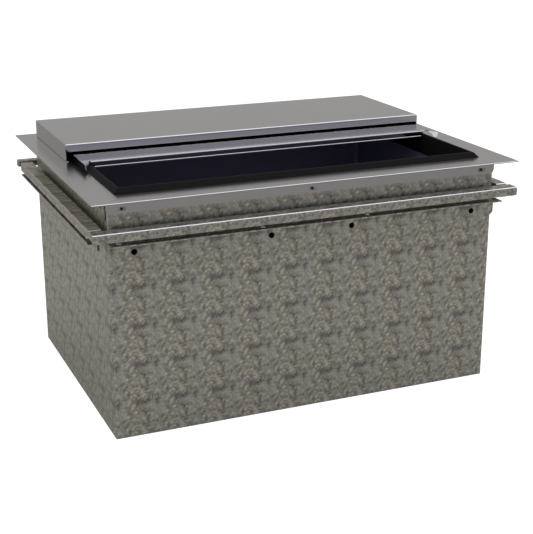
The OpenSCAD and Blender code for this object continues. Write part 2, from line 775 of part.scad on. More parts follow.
// Solid form of a rail's top, face and ends, or of their inside when shrunk by the sheet
module rail_form(half_len, edge, shrink) {
    r = rail_bend - shrink;
    hw = half_len - shrink;
    top = rail_top - shrink;
    low = rail_top - rail_face;
    open = shrink > 0 ? cut : 0;
    intersection() {
        run_front(hw, edge - shrink)
            polygon(concat([[-rail_w - open, low - open], [0, low - open]], arc([-r, top - r], r, 0, 90),
                [[-rail_w - open, top]]));
        translate([0, rail_w + cut - edge, 0]) rotate([90, 0, 0]) linear_extrude(rail_w + 2 * cut)
            hood_outline(hw, low - open, top, r);
        translate([0, rail_w + open - edge, low - cut]) linear_extrude(rail_face + 2 * cut) mirror([0, 1]) {
            translate([-hw, 0]) square([2 * hw, rail_w + open - shrink - r]);
            translate([r - hw, 0]) square([2 * (hw - r), rail_w + open - shrink]);
            for (s = [-1, 1]) translate([s * (hw - r), rail_w + open - shrink - r]) circle(r);
        }
    }
}

// Folded rail along the front: face, top, closed ends, inner leg and foot on the ledge
module rail(half_len, leg_half, dist) {
    edge = dist + overhang;
    inner = edge - rail_w;
    low = rail_top - rail_face;
    difference() {
        rail_form(half_len, edge, 0);
        rail_form(half_len, edge, rail_t);
        block([-half_len - cut, rail_t - edge, low - cut], [half_len + cut, cut - inner, low + rail_corner]);
        translate([0, cut - inner, 0]) rotate([90, 0, 0]) linear_extrude(rail_w + 2 * cut)
            for (s = [-1, 1]) difference() {
                translate([s * half_len, low]) square(2 * rail_corner, center = true);
                translate([s * (half_len - rail_corner), low + rail_corner]) circle(rail_corner);
            }
    }
    block([-leg_half, -inner - rail_t, ledge_top], [leg_half, -inner, rail_top]);
    block([-leg_half, -inner - rail_t, ledge_top], [leg_half, -dist - foot_in, ledge_top + rail_t]);
}
module long_rail() {
    color(zinc) difference() {
        rail(deck_w / 2 + rail_over, body_w / 2 - shell_lap / 2, body_d / 2);
        for (x = long_rivets) hole_z(x, -body_d / 2 - rivet_out, ledge_top, rivet_hole_r, 4 * rail_t);
    }
}
module side_rail() {
    half = deck_d / 2 - rail_w - rail_gap;
    color(zinc) difference() {
        rail(half, body_d / 2 - shell_lap / 2, body_w / 2);
        for (x = side_rivets) hole_z(x, -body_w / 2 - rivet_out, ledge_top, rivet_hole_r, 4 * rail_t);
    }
}
module rail_front() { long_rail(); }
module rail_rear() { side(2) long_rail(); }
module rail_left() { side(3) side_rail(); }
module rail_right() { side(1) side_rail(); }

// Blind rivet through a rail's foot and its ledge, with its head above and its bulb below
module rivet() {
    bulb_r = rivet_r + rivet_bulb_w;
    low = -ledge_t - rivet_bulb_h;
    crown = rail_t + rivet_head_h;
    translate([0, 0, ledge_top]) rotate_extrude($fn = small_fn) polygon([
        [0, low], [bulb_r - rivet_bulb_w / 2, low], [bulb_r, low + rivet_bulb_h / 2],
        [bulb_r, -ledge_t], [rivet_r, -ledge_t], [rivet_r, rail_t], [rivet_head_r, rail_t],
        [(2 * rivet_head_r + rivet_r) / 3, crown - rivet_head_h / 3], [rivet_r, crown], [0, crown]]);
}
module rail_rivets() {
    color(steel) {
        for (n = [0, 2], x = long_rivets) side(n) translate([x, -body_d / 2 - rivet_out, 0]) rivet();
        for (n = [1, 3], x = side_rivets) side(n) translate([x, -body_w / 2 - rivet_out, 0]) rivet();
    }
}

// Solid box of the cover's outside, or of its inside when shrunk by the sheet
module cover_form(shrink) {
    hw = cover_hw - shrink;
    hd = cover_d / 2 - shrink;
    r = cover_bend - shrink;
    low = deck_top + shrink;
    top = cover_top - shrink;
    translate([0, (cover_front + cover_back) / 2, 0]) intersection() {
        rotate([90, 0, 0]) linear_extrude(4 * hd, center = true) box_outline(hw, low, top, r, foot_bend - shrink);
        rotate([90, 0, 90]) linear_extrude(4 * hw, center = true)
            box_outline(hd, low, top, r, foot_bend - shrink);
        translate([0, 0, low - cut]) linear_extrude(top - low + 2 * cut) {
            translate([-hw, -hd]) square([2 * hw, 2 * hd - r]);
            translate([r - hw, -hd]) square([2 * (hw - r), 2 * hd]);
            for (s = [-1, 1]) translate([s * (hw - r), hd - r]) circle(r);
        }
    }
}

// Upright rectangle with its two top corners rounded
module hood_outline(half, low, top, r) {
    translate([-half, low]) square([2 * half, top - r - low]);
    translate([-half + r, low]) square([2 * (half - r), top - low]);
    for (s = [-1, 1]) translate([s * (half - r), top - r]) circle(r);
}

// Upright rectangle with its two top corners and its two bottom corners rounded
module box_outline(half, low, top, r, low_r) {
    intersection() {
        hood_outline(half, low, top, r);
        translate([0, low + top]) mirror([0, 1]) hood_outline(half, low, top, low_r);
    }
}

// Hem along the bottom of the cover's face, as [forward, up] from the face
module face_hem_outline() {
    polygon(concat([[0, face_bottom + cover_hem], [-2 * cover_t, face_bottom + cover_hem]],
        arc([-cover_t, face_bottom + cover_t], cover_t, 180, 360)));
}

// Stainless rear cover: a folded hood with a short hemmed front face and inturned feet
module rear_cover() {
    in_hw = cover_hw - cover_t;
    foot_hw = cover_hw - foot_w;
    hem_hw = in_hw - cover_hem_in;
    color(steel) difference() {
        union() {
            difference() {
                cover_form(0);
                cover_form(cover_t);
                block([-foot_hw, cover_front - cut, deck_top - cut], [foot_hw, stop_y, deck_top + 2 * cover_t]);
                block([-in_hw, cover_front - cut, deck_top + cover_t],
                    [in_hw, cover_front + 2 * cover_t, face_bottom]);
                block([-hem_hw, cover_front - cut, deck_top + cover_t],
                    [hem_hw, cover_front + 2 * cover_t, face_bottom + cover_t]);
            }
            run_front(hem_hw, -cover_front) face_hem_outline();
            for (s = [-1, 1]) scale([s, 1, 1])
                block([stud_x - stop_w / 2, stop_y, deck_top],
                    [stud_x + stop_w / 2, stop_y + cover_t, deck_top + stop_h]);
        }
        for (s = [-1, 1]) {
            hole_z(s * stud_x, stud_y, deck_top, stud_hole_r, 4 * cover_t);
            for (up = [relief_r / 2, relief_up])
                translate([s * cover_hw, cover_back - relief_r / 2, deck_top + up]) rotate([0, 90, 0])
                    cylinder(r = relief_r, h = 4 * cover_bend, center = true, $fn = small_fn);
        }
    }
}

// Round-topped studs on the deck that hold the cover in place
module cover_studs() {
    dome = stud_r / 2;
    color(steel) for (s = [-1, 1]) translate([s * stud_x, stud_y, deck_top])
        rotate_extrude($fn = small_fn) polygon([[0, 0], [stud_r, 0], [stud_r, stud_h - dome],
            [stud_r - dome, stud_h], [0, stud_h]]);
}

// Section of the lid's front edge and finger lip, as [forward, up] from the lid's front line
module lip_outline() {
    lean = atan2(lip_back, lip_drop);
    foot = [-lip_back, lid_top - lip_drop + lip_hem_r];
    outer = arc([-lid_bend, lid_top - lid_bend], lid_bend, 90, -lean);
    inner = arc([-lid_bend, lid_top - lid_bend], lid_bend - lid_t, -lean, 90);
    across = lid_t * [cos(lean), -sin(lean)];
    polygon(concat([[-2 * lid_bend, lid_top]], outer, [foot + across / 2, foot - across / 2], inner,
        [[-2 * lid_bend, lid_under]]));
    translate(foot) circle(lip_hem_r, $fn = small_fn);
}

// Finger lip: full width at its bend, and narrower below, where it hangs between the strips
module finger_lip() {
    intersection() {
        run_front(lip_root_hw, -lid_front) lip_outline();
        translate([0, bend_y + lid_bend, 0]) rotate([90, 0, 0]) linear_extrude(4 * lid_bend)
            polygon([[-lip_root_hw, lid_top], [-lip_root_hw, lid_top - lid_bend], [-lip_hw, glide_z],
                [-lip_hw, 0], [lip_hw, 0], [lip_hw, glide_z], [lip_root_hw, lid_top - lid_bend],
                [lip_root_hw, lid_top]]);
    }
}

// Section of an ear and its bend, as [outward, up] from the edge that it is folded along
module ear_outline() {
    centre = [-lid_bend, lid_top - lid_bend];
    outer = arc(centre, lid_bend, 90, ear_lean);
    inner = arc(centre, lid_bend - lid_t, ear_lean, 90);
    leg = (ear_h - lid_bend + lid_bend * sin(ear_lean)) / cos(ear_lean);
    along = leg * [sin(ear_lean), -cos(ear_lean)];
    polygon(concat([[-2 * lid_bend, lid_top]], outer, [outer[arc_steps] + along, inner[0] + along], inner,
        [[-2 * lid_bend, lid_under]]));
}

// Ear along the inner edge of the lid's right front corner, swept up towards the finger lip
module ear() {
    intersection() {
        translate([lid_hw, lid_front - horn_out, 0]) rotate([0, 0, 90 + atan2(horn_w, horn_out)])
            difference() {
                rotate([90, 0, 90]) linear_extrude(ear_len) ear_outline();
                translate([ear_len, 0, lid_top - lid_bend - ear_sweep]) rotate([90, 0, 0])
                    cylinder(r = ear_sweep, h = 4 * ear_h, center = true);
            }
        block([lip_root_hw, lid_front - 2 * horn_out, 0], [lid_hw, lid_front + horn_out, lid_top]);
    }
}

// Plan of the lid's sheet up to its bends, with its two corners standing forward
module lid_plan() {
    back = lid_front + lid_d;
    len = norm([horn_w, horn_out]);
    slope = horn_out / horn_w;
    corner_y = lid_front - horn_out + lid_bend * len / horn_w;
    root_x = lid_hw - (bend_y - corner_y) / slope;
    polygon([[-lid_hw, back], [-lid_hw, corner_y], [-root_x, bend_y], [root_x, bend_y], [lid_hw, corner_y],
        [lid_hw, back]]);
}

// Stainless sliding lid: sheet, finger lip, corner ears and a rear stiffening flange
module sliding_lid() {
    back = lid_front + lid_d;
    color(steel) translate([lid_shift, 0, 0]) {
        translate([0, 0, lid_under]) linear_extrude(lid_t) lid_plan();
        finger_lip();
        for (s = [-1, 1]) scale([s, 1, 1]) ear();
        block([-lip_hw, back - lid_t, lid_under - lid_rear_h], [lip_hw, back, lid_under]);
    }
}

// Plastic glides that carry the lid on the breaker strips
module lid_glide() {
    x = strip_hw + (strip_top_w - glide_w) / 2;
    color(plastic) block([x, lid_front + glide_front, glide_z],
        [x + glide_w, lid_front + lid_d - glide_rear, lid_under]);
}
module lid_glide_right() { translate([lid_shift, 0, 0]) lid_glide(); }
module lid_glide_left() { translate([lid_shift, 0, 0]) scale([-1, 1, 1]) lid_glide(); }

// Stainless drain: flange on the floor, bowl with a strainer seat, and an outlet tube
module drain_body() {
    seat_r = bowl_r - seat_w;
    low = socket_bore;
    h = drain_flange_h;
    color(steel) rotate_extrude() polygon([[bowl_r, seat_z], [bowl_r, floor_z], [bowl_r + h, floor_z + h],
        [drain_flange_r - h, floor_z + h], [drain_flange_r, floor_z], [bowl_out_r, floor_z],
        [bowl_out_r, bowl_z - drain_t], [outlet_out_r, bowl_z - drain_t], [outlet_out_r, low],
        [outlet_r, low], [outlet_r, bowl_z], [seat_r, bowl_z], [seat_r, seat_z]]);
}

// Rubber gasket under the liner's floor
module drain_gasket() {
    color(rubber) translate([0, 0, locknut_top]) difference() {
        cylinder(r = drain_flange_r - under_flange, h = gasket_h);
        translate([0, 0, -cut]) cylinder(r = bowl_out_r, h = gasket_h + 2 * cut);
    }
}

// Hexagonal locknut that draws the drain's flange down
module drain_locknut() {
    color("#b08d4a") translate([0, 0, locknut_top - locknut_h]) difference() {
        cylinder(r = drain_flange_r - under_flange, h = locknut_h, $fn = 6);
        translate([0, 0, -cut]) cylinder(r = bowl_out_r, h = locknut_h + 2 * cut);
    }
}

// Outlet socket with a threaded bore that opens in the base
module drain_socket() {
    color("#b08d4a") difference() {
        cylinder(r = socket_out_r, h = socket_len);
        translate([0, 0, -cut]) cylinder(r = socket_r, h = socket_bore + cut);
        translate([0, 0, socket_bore]) cylinder(r = outlet_out_r, h = socket_len);
    }
}

// Lift-out strainer plate with rings of round holes and a hole for its knob
module drain_strainer() {
    r = bowl_r - strainer_gap;
    rings = [0.3, 0.56, 0.82];
    color(steel) translate([0, 0, seat_z]) difference() {
        cylinder(r = r, h = strainer_t);
        hole_z(0, 0, 0, spigot_r, 4 * strainer_t);
        for (k = [0:2], i = [0:6 * (k + 1) - 1]) rotate([0, 0, 60 * i / (k + 1)])
            translate([rings[k] * r, 0, 0])
                cylinder(r = strainer_hole_r, h = 4 * strainer_t, center = true, $fn = small_fn);
    }
}

// Finger knob with a spigot fixed in the strainer plate
module strainer_knob() {
    top = strainer_t + knob_h;
    cap_z = top - knob_cap_h;
    edge = knob_cap_h / 3;
    color(steel) translate([0, 0, seat_z]) rotate_extrude() polygon([[0, 0], [spigot_r, 0],
        [spigot_r, strainer_t], [neck_r, strainer_t], [neck_r, cap_z - edge], [knob_r, cap_z],
        [knob_r, top - edge], [knob_r - edge, top], [0, top]]);
}

shell_wrap();
shell_back();
shell_base();
foam_insulation();
liner();
rim_seal();
deck();
apron_front();
apron_rear();
apron_pins();
breaker_front();
breaker_rear();
breaker_left();
breaker_right();
ledge_front();
ledge_rear();
ledge_left();
ledge_right();
rail_front();
rail_rear();
rail_left();
rail_right();
rail_rivets();
rear_cover();
cover_studs();
sliding_lid();
lid_glide_left();
lid_glide_right();
drain_body();
drain_gasket();
drain_locknut();
drain_socket();
drain_strainer();
strainer_knob();
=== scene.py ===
"""Drop-in ice bin: finishes, rivets, floor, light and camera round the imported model."""

import math

import bmesh
import bpy
from mathutils import Matrix, Vector


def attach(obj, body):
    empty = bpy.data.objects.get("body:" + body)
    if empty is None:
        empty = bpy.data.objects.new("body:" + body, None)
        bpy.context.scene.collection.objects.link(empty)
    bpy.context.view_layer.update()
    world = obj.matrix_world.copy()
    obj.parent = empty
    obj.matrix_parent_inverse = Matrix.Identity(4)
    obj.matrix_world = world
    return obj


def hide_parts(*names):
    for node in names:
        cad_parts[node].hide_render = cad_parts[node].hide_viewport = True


# Camera, at the photograph's place
CAMERA_TURN = math.radians(22.807)
CAMERA_DOWN = math.radians(18.256)
CAMERA_ROLL = math.radians(-0.08)
CAMERA_PLACE = Vector((-0.80860, -1.97560, 0.88222))
CAMERA_LENS = 80.35
CAMERA_SENSOR = 36.0
CAMERA_REACH = 200.0

# Floor, in metres
FLOOR_SIZE = 60.0
FLOOR_BELOW = 0.0002
FLOOR_SEEN = (0.45, 0.45, 0.45)
FLOOR_GLOW = 0.85
FLOOR_REFLECTED = (0.425, 0.42, 0.40)

# Surround, by height and from front to back
SURROUND_RISE = (
    (0.0, (0.52, 0.52, 0.52)),
    (0.5, (0.50, 0.50, 0.51)),
    (1.0, (0.60, 0.60, 0.62)),
)
SURROUND_FRONT = (0.82, 0.83, 0.97)
SURROUND_BACK = (0.83, 0.81, 0.78)

# Lights: name, place, point aimed at, size, power in watts, colour
COOL_WHITE = (0.97, 0.97, 1.0)
LIGHTS = (
    ("overhead", (0.5, -0.35, 2.9), (0.5, -0.3, 0.0), (7.6, 5.0), 58.0, COOL_WHITE),
    ("front_strip", (0.8, -1.05, 2.6), (0.8, -1.0, 0.0), (3.6, 1.3), 18.5, COOL_WHITE),
    ("left_fill", (-2.6, 0.6, 1.2), (0.0, 0.0, 0.2), (3.2, 2.4), 16.0, (1.0, 1.0, 1.0)),
)

# Galvanised zinc
ZINC_TILE = 0.0665
ZINC_TAN = (
    (0.0, (0.147, 0.141, 0.133)),
    (0.3, (0.286, 0.270, 0.237)),
    (0.6, (0.460, 0.435, 0.350)),
    (1.0, (0.81, 0.78, 0.62)),
)
ZINC_PALE = (
    (0.0, (0.295, 0.314, 0.28)),
    (0.5, (0.49, 0.508, 0.43)),
    (1.0, (0.72, 0.742, 0.625)),
)
# Whitish colour of the painted highlight on the zinc's front and back bends
ZINC_BEND_HIGHLIGHT = (0.72, 0.71, 0.72)
# Near-black colour of the painted shade on the ends of the ledge strips
ZINC_END_SHADE = (0.03, 0.03, 0.028)
BEND_GLOSS = 0.17

# How far a surface must look along an axis to count as facing it
FACES_SIDEWAYS = 0.7
FACES_ENDWAYS = 0.9

# Rivets, in metres: the named inputs of their node tree
RIVET_SIZES = {
    "Head radius": 0.0029,
    "Head rise": 0.0010,
    "Mandrel hole": 0.0009,
    "Shank radius": 0.0016,
    "Grip above": 0.0016,
    "Grip below": 0.0020,
    "Bulb radius": 0.0024,
    "Bulb height": 0.0016,
}
RIVET_SIDES = 32
RIVET_TOP_RINGS = 8
RIVET_RIM_SHARE = 0.3
RIVET_DOME_POWER = 2.5
RIVET_PIT_SHARE = 0.75
RIVET_SHARP_EDGE = math.radians(35)

# Two corners of a CAD mesh closer than this are one
SAME_CORNER = 1e-6

# Sides of the bin, as the nodes' names end
SIDES = ("front", "rear", "left", "right")

# Places of a Mix node's sockets, for numbers and for colours
MIX_FACTOR = 0
MIX_NUMBERS = (2, 3)
MIX_COLOURS = (6, 7)
MIX_NUMBER_OUT = 0
MIX_COLOUR_OUT = 2


def add_node(tree, kind, **values):
    """A new node, with attributes and input sockets set by name."""
    node = tree.nodes.new(kind)
    for name, value in values.items():
        if hasattr(node, name):
            setattr(node, name, value)
        else:
            node.inputs[name.replace("_", " ")].default_value = value
    return node


def object_coordinates(tree, stretch=(1.0, 1.0, 1.0)):
    """Object coordinates in metres, stretched along the axes."""
    coordinates = tree.nodes.new("ShaderNodeTexCoord")
    mapping = add_node(tree, "ShaderNodeMapping", Scale=stretch)
    tree.links.new(coordinates.outputs["Object"], mapping.inputs["Vector"])
    return mapping.outputs["Vector"]


def facing(tree):
    """How far a surface looks along X, Y and Z, as three outputs."""
    coordinates = tree.nodes.new("ShaderNodeTexCoord")
    parts = tree.nodes.new("ShaderNodeSeparateXYZ")
    tree.links.new(coordinates.outputs["Normal"], parts.inputs["Vector"])
    return parts.outputs


def noise(tree, place, scale, detail=2.0, roughness=0.5):
    """Soft noise over a place."""
    node = add_node(tree, "ShaderNodeTexNoise", Scale=scale, Detail=detail, Roughness=roughness)
    tree.links.new(place, node.inputs["Vector"])
    return node.outputs["Fac"]


def soft_cells(tree, place, scale, smoothness):
    """Soft-edged cells, each with its own random value."""
    node = add_node(
        tree, "ShaderNodeTexVoronoi", feature="SMOOTH_F1", Scale=scale, Smoothness=smoothness
    )
    tree.links.new(place, node.inputs["Vector"])
    split = tree.nodes.new("ShaderNodeSeparateColor")
    tree.links.new(node.outputs["Color"], split.inputs["Color"])
    return split.outputs["Red"]


def maths(tree, operation, *values):
    """A sum, product or like of one or two values, each a number or an output."""
    node = add_node(tree, "ShaderNodeMath", operation=operation)
    for place, value in enumerate(values):
        if isinstance(value, (int, float)):
            node.inputs[place].default_value = value
        else:
            tree.links.new(value, node.inputs[place])
    return node.outputs["Value"]


def spread(tree, value, low, high, to_low, to_high):
    """Maps a value from one range to another, held inside the new one."""
    node = add_node(
        tree, "ShaderNodeMapRange", From_Min=low, From_Max=high, To_Min=to_low, To_Max=to_high
    )
    tree.links.new(value, node.inputs["Value"])
    return node.outputs["Result"]


def ramp(tree, value, stops):
    """Colour by value, through the given (place, colour) stops."""
    node = tree.nodes.new("ShaderNodeValToRGB")
    elements = node.color_ramp.elements
    while len(elements) < len(stops):
        elements.new(0.5)
    for element, (place, colour) in zip(elements, stops):
        element.position = place
        element.color = (*colour, 1.0)
    tree.links.new(value, node.inputs["Fac"])
    return node.outputs["Color"]


def blend_colours(tree, factor, first, second, kind="MIX"):
    """Mixes two colours by a factor; each may be a value or an output."""
    node = add_node(tree, "ShaderNodeMix", data_type="RGBA", blend_type=kind)
    if isinstance(factor, bpy.types.NodeSocket):
        tree.links.new(factor, node.inputs[MIX_FACTOR])
    else:
        node.inputs[MIX_FACTOR].default_value = factor
    for place, colour in zip(MIX_COLOURS, (first, second)):
        if isinstance(colour, bpy.types.NodeSocket):
            tree.links.new(colour, node.inputs[place])
        else:
            node.inputs[place].default_value = (*colour, 1.0)
    return node.outputs[MIX_COLOUR_OUT]


def bump(tree, height, depth, strength):
    """A normal from a height in the given depth, in metres."""
    node = add_node(tree, "ShaderNodeBump", Strength=strength, Distance=depth)
    tree.links.new(height, node.inputs["Height"])
    return node.outputs["Normal"]


def finish_of(name, colour, metallic, roughness, specular=0.5):
    """A new material, its one shader set evenly; returns (material, tree, shader inputs)."""
    material = bpy.data.materials.new(name)
    material.use_nodes = True
    tree = material.node_tree
    shader = tree.nodes["Principled BSDF"].inputs
    shader["Base Color"].default_value = (*colour, 1.0)
    shader["Metallic"].default_value = metallic
    shader["Roughness"].default_value = roughness
    shader["Specular IOR Level"].default_value = specular
    material.diffuse_color = (*colour, 1.0)
    return material, tree, shader


def tile_place(tree, tile):
    """Place on a flat face, wound round two rings, so that a pattern repeats every tile."""
    coordinates = tree.nodes.new("ShaderNodeTexCoord")
    place = tree.nodes.new("ShaderNodeSeparateXYZ")
    tree.links.new(coordinates.outputs["Object"], place.inputs["Vector"])
    looks = facing(tree)
    rings = []
    for axis in ("X", "Z"):
        turned = maths(tree, "GREATER_THAN", maths(tree, "ABSOLUTE", looks[axis]), FACES_SIDEWAYS)
        pick = tree.nodes.new("ShaderNodeMix")
        tree.links.new(turned, pick.inputs[MIX_FACTOR])
        for socket, own in zip(MIX_NUMBERS, (axis, "Y")):
            tree.links.new(place.outputs[own], pick.inputs[socket])
        angle = maths(tree, "MULTIPLY", pick.outputs[MIX_NUMBER_OUT], 2 * math.pi / tile)
        rings += [maths(tree, "COSINE", angle), maths(tree, "SINE", angle)]
    vector = tree.nodes.new("ShaderNodeCombineXYZ")
    *first_three, fourth = rings
    for number, value in enumerate(first_three):
        tree.links.new(value, vector.inputs[number])
    return vector.outputs["Vector"], fourth


def tile_noise(tree, place, scale, detail, roughness, shift):
    """Noise that repeats with its tile; the shift picks another pattern."""
    vector, depth = place
    node = add_node(
        tree, "ShaderNodeTexNoise", noise_dimensions="4D",
        Scale=scale, Detail=detail, Roughness=roughness,
    )
    tree.links.new(vector, node.inputs["Vector"])
    tree.links.new(maths(tree, "ADD", depth, shift), node.inputs["W"])
    return node.outputs["Fac"]


def painted_highlight_bends(tree):
    """1 on bends along the front and back, where a face is turned away from all axes: the places
    of the zinc's painted highlight.
    """
    looks = facing(tree)
    squareness = 0.0
    for axis in ("X", "Y", "Z"):
        along = maths(tree, "ABSOLUTE", looks[axis])
        squareness = maths(tree, "MAXIMUM", along, squareness)
    bent = spread(tree, squareness, low=0.985, high=0.94, to_low=0.0, to_high=1.0)
    # Bends that face sideways are left out: the painted highlight follows where the light falls
    sideways = maths(tree, "ABSOLUTE", looks["X"])
    lengthways = spread(tree, sideways, low=0.15, high=0.35, to_low=1.0, to_high=0.0)
    return maths(tree, "MULTIPLY", bent, lengthways)


def painted_shade_ends(tree, axis):
    """1 where a face looks along the given axis, else 0: the ends of a strip, which get a painted
    shade.
    """
    return maths(tree, "GREATER_THAN", maths(tree, "ABSOLUTE", facing(tree)[axis]), FACES_ENDWAYS)


def galvanised_sheet(name, strip_axis=None):
    """Hot-dip zinc: mottled grey with cooler and tanner patches; a painted highlight whitens the
    front and back bends, and a painted shade darkens a strip's ends.
    """
    material, tree, shader = finish_of(name, (0.42, 0.41, 0.36), metallic=0.8, roughness=0.35)
    place = tile_place(tree, ZINC_TILE)
    mottle = tile_noise(tree, place, scale=1.0, detail=4.0, roughness=0.8, shift=3.1)
    speck = tile_noise(tree, place, scale=2.2, detail=2.0, roughness=0.7, shift=11.7)
    patches = tile_noise(tree, place, scale=0.62, detail=3.0, roughness=0.55, shift=27.4)
    patches = spread(tree, patches, low=0.5, high=0.58, to_low=0.0, to_high=0.85)
    mottle_part = maths(tree, "MULTIPLY", mottle, 0.7)
    tone = maths(tree, "ADD", mottle_part, maths(tree, "MULTIPLY", speck, 0.3))
    tone = spread(tree, tone, low=0.36, high=0.64, to_low=0.0, to_high=1.0)
    sheet = blend_colours(tree, patches, ramp(tree, tone, ZINC_TAN), ramp(tree, tone, ZINC_PALE))
    # Painted highlight: the front and back bends are whitened, and made glossier
    bends = painted_highlight_bends(tree)
    sheet = blend_colours(tree, bends, sheet, ZINC_BEND_HIGHLIGHT)
    # Painted shade: the strip's ends, which face along its length, are made near-black
    if strip_axis:
        sheet = blend_colours(tree, painted_shade_ends(tree, strip_axis), sheet, ZINC_END_SHADE)
    tree.links.new(sheet, shader["Base Color"])
    grain = spread(tree, speck, low=0.35, high=0.65, to_low=0.30, to_high=0.40)
    rough = maths(tree, "SUBTRACT", grain, maths(tree, "MULTIPLY", bends, BEND_GLOSS))
    tree.links.new(rough, shader["Roughness"])
    tree.links.new(bump(tree, speck, depth=0.0001, strength=0.15), shader["Normal"])
    return material


def satin_stainless(name, colour, roughness, metallic=1.0):
    """Rolled stainless sheet with a fine grain along X."""
    material, tree, shader = finish_of(name, colour, metallic, roughness)
    along_x = object_coordinates(tree, (6.0, 420.0, 420.0))
    lines = noise(tree, along_x, scale=1.0, detail=3.0, roughness=0.6)
    cloud = noise(tree, object_coordinates(tree), scale=4.0)
    shade = maths(tree, "ADD", lines, cloud)
    shade = spread(tree, shade, low=0.6, high=1.4, to_low=0.0, to_high=1.0)
    dark = tuple(0.96 * part for part in colour)
    light = tuple(min(1.0, 1.04 * part) for part in colour)
    tree.links.new(blend_colours(tree, shade, dark, light), shader["Base Color"])
    rough = spread(
        tree, lines, low=0.3, high=0.7, to_low=roughness - 0.03, to_high=roughness + 0.03
    )
    tree.links.new(rough, shader["Roughness"])
    tree.links.new(bump(tree, lines, depth=0.00002, strength=0.3), shader["Normal"])
    return material


def moulded_plastic():
    """Black breaker strip plastic with a fine moulded grain."""
    material, tree, shader = finish_of(
        "moulded_plastic", (0.0076, 0.0076, 0.0074), metallic=0.0, roughness=0.55, specular=0.045
    )
    grain = noise(tree, object_coordinates(tree), scale=900.0)
    rough = spread(tree, grain, low=0.3, high=0.7, to_low=0.45, to_high=0.55)
    tree.links.new(rough, shader["Roughness"])
    tree.links.new(bump(tree, grain, depth=0.00005, strength=0.3), shader["Normal"])
    return material


def rigid_foam():
    """Graphite-grey insulation foam with small cells."""
    material, tree, shader = finish_of(
        "rigid_foam", (0.03, 0.03, 0.032), metallic=0.0, roughness=0.9, specular=0.2
    )
    cells = soft_cells(tree, object_coordinates(tree), scale=500.0, smoothness=0.2)
    grey = blend_colours(tree, cells, (0.02, 0.02, 0.022), (0.04, 0.04, 0.042))
    tree.links.new(grey, shader["Base Color"])
    tree.links.new(bump(tree, cells, depth=0.0005, strength=0.5), shader["Normal"])
    return material


def soft_rubber():
    """Dull black seal and gasket rubber."""
    material, tree, shader = finish_of(
        "soft_rubber", (0.02, 0.02, 0.02), metallic=0.0, roughness=0.8
    )
    grain = noise(tree, object_coordinates(tree), scale=600.0)
    tree.links.new(bump(tree, grain, depth=0.0001, strength=0.4), shader["Normal"])
    return material


def turned_brass():
    """Brass of the drain's socket and locknut."""
    material, tree, shader = finish_of(
        "turned_brass", (0.62, 0.46, 0.2), metallic=1.0, roughness=0.35
    )
    rings = noise(tree, object_coordinates(tree, (60.0, 60.0, 900.0)), scale=1.0)
    rough = spread(tree, rings, low=0.3, high=0.7, to_low=0.28, to_high=0.42)
    tree.links.new(rough, shader["Roughness"])
    return material


def blackened_pin():
    """Black-oxide steel of the locating pins."""
    material, tree, shader = finish_of(
        "blackened_pin", (0.05, 0.05, 0.05), metallic=0.6, roughness=0.45
    )
    grain = noise(tree, object_coordinates(tree), scale=700.0)
    rough = spread(tree, grain, low=0.3, high=0.7, to_low=0.38, to_high=0.52)
    tree.links.new(rough, shader["Roughness"])
    return material


def dress(nodes, material, *names):
    """Gives CAD nodes a material in all their slots."""
    for name in names:
        mesh = nodes[name].data
        if not mesh.materials:
            mesh.materials.append(material)
        for place in range(len(mesh.materials)):
            mesh.materials[place] = material


def separate_lumps(node):
    """The box of each separate lump of a CAD node, as (lowest, highest) corners."""
    work = bmesh.new()
    work.from_mesh(node.data)
    bmesh.ops.remove_doubles(work, verts=work.verts, dist=SAME_CORNER)
    left = set(work.verts)
    boxes = []
    while left:
        found = [left.pop()]
        for vertex in found:
            for edge in vertex.link_edges:
                other = edge.other_vert(vertex)
                if other in left:
                    left.discard(other)
                    found.append(other)
        places = [vertex.co for vertex in found]
        lowest, highest = (
            Vector(pick(place[axis] for place in places) for axis in range(3))
            for pick in (min, max)
        )
        boxes.append((lowest, highest))
    work.free()
    return sorted(boxes, key=lambda box: tuple(box[0]))


